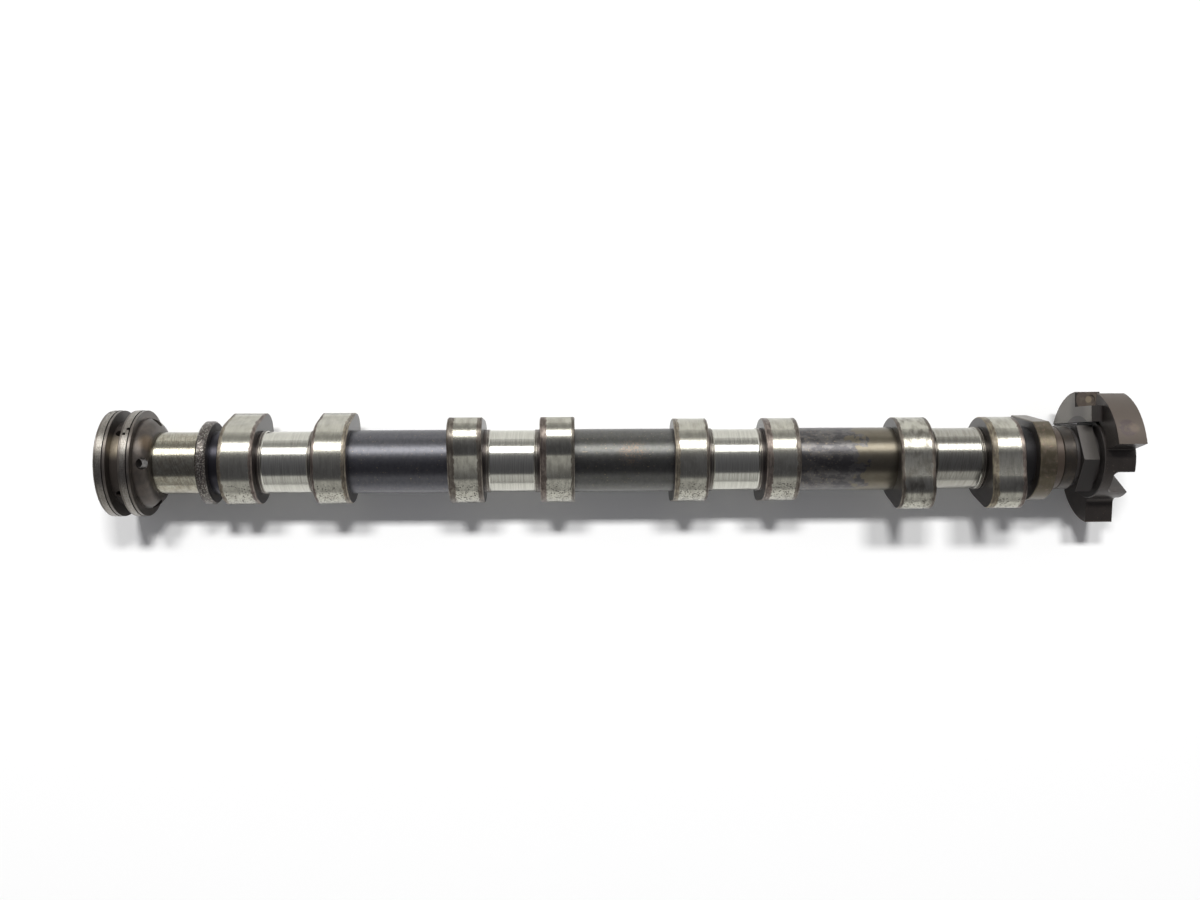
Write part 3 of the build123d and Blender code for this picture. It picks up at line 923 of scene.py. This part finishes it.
def build_room():
    """A white room with a darker ceiling over the table; the camera sees it as plain white."""
    world = bpy.data.worlds.new("white_room")
    bpy.context.scene.world = world
    world.use_nodes = True
    tree = world.node_tree
    tree.nodes.clear()
    direction = add(tree, "TexCoord", {}).outputs["Generated"]
    split = add(tree, "SeparateXYZ", {"Vector": direction})
    across, up = split.outputs["Y"], split.outputs["Z"]
    angle = add(tree, "Math", {0: across, 1: up}, operation="ARCTAN2")
    place = add(tree, "MapRange", {"Value": angle, "From Min": -pi / 2, "From Max": pi / 2})
    ramp = add(tree, "ValToRGB", {"Fac": place})
    stops = ramp.color_ramp.elements
    while len(stops) < len(ROOM):
        stops.new(0.5)
    for stop, (degrees, level, blue) in zip(stops, ROOM):
        stop.position = (degrees + 90.0) / 180.0
        stop.color = (level, level, level * blue, 1.0)
    endways = add(tree, "Math", {0: split.outputs["X"]}, operation="ABSOLUTE")
    at_ends = add(
        tree,
        "MapRange",
        {"Value": endways, "From Min": END_WALL_START, "From Max": END_WALL_REACHED},
    )
    wall = (END_WALL, END_WALL, END_WALL, 1.0)
    seen = add(tree, "MixRGB", {"Fac": at_ends, "Color1": ramp, "Color2": wall})
    camera = add(tree, "LightPath", {}).outputs["Is Camera Ray"]
    shown = add(tree, "MixRGB", {"Fac": camera, "Color1": seen, "Color2": srgb(TABLE_WHITE)})
    background = add(tree, "Background", {"Color": shown, "Strength": 1.0})
    add(tree, "OutputWorld", {"Surface": background})


def hang_lamp(name, offset, angle, length, width, power):
    """A rectangular soft lamp, offset along the shaft from its middle and turned towards it."""
    data = bpy.data.lights.new(name, "AREA")
    data.shape = "RECTANGLE"
    data.size = length
    data.size_y = width
    data.energy = power
    lamp = bpy.data.objects.new(name, data)
    bpy.context.scene.collection.objects.link(lamp)
    middle = (cad_box[0].x + cad_box[1].x) / 2
    lamp.location = (middle + offset, LAMP_DISTANCE * sin(angle), LAMP_DISTANCE * cos(angle))
    lamp.rotation_euler = (-angle, 0.0, 0.0)
    return lamp


def light_table():
    """Two small lamps that light the table, and the long bright panel that the metal reflects."""
    for number, offset in ((1, -KEY_SPREAD / 2), (2, KEY_SPREAD / 2)):
        lamp = hang_lamp(
            f"key_lamp_{number}", offset, radians(KEY_ANGLE), KEY_LENGTH, KEY_WIDTH, KEY_POWER
        )
        lamp.visible_glossy = False
    middle = radians((STRIP_START + STRIP_END) / 2)
    half = radians((STRIP_END - STRIP_START) / 2)
    width = 2 * LAMP_DISTANCE * sin(half) / cos(half)
    power = STRIP_RADIANCE * pi * STRIP_LENGTH * width
    strip = hang_lamp("light_panel", 0.0, middle, STRIP_LENGTH, width, power)
    strip.visible_diffuse = False


# The camera hangs over the shaft; its lens is for a film 36 mm wide.
CAMERA_PLACE = Vector((172.26, 3.93, 431.3)) * MM
CAMERA_YAW = 1.4875
CAMERA_ROLL = 0.35
CAMERA_LENS = 33.9


def aim_camera():
    """Looks straight down on the shaft, turned a little so that the drive end is farther."""
    data = bpy.data.cameras.new("camera")
    data.lens = CAMERA_LENS
    camera = bpy.data.objects.new("camera", data)
    bpy.context.scene.collection.objects.link(camera)
    yaw = Matrix.Rotation(-radians(CAMERA_YAW), 4, "Y")
    roll = Matrix.Rotation(-radians(CAMERA_ROLL), 4, "Z")
    camera.matrix_world = Matrix.Translation(CAMERA_PLACE) @ yaw @ roll
    bpy.context.scene.camera = camera


dress_nodes()
lay_floor()
build_room()
light_table()
aim_camera()
bpy.context.scene.view_settings.view_transform = "Standard"
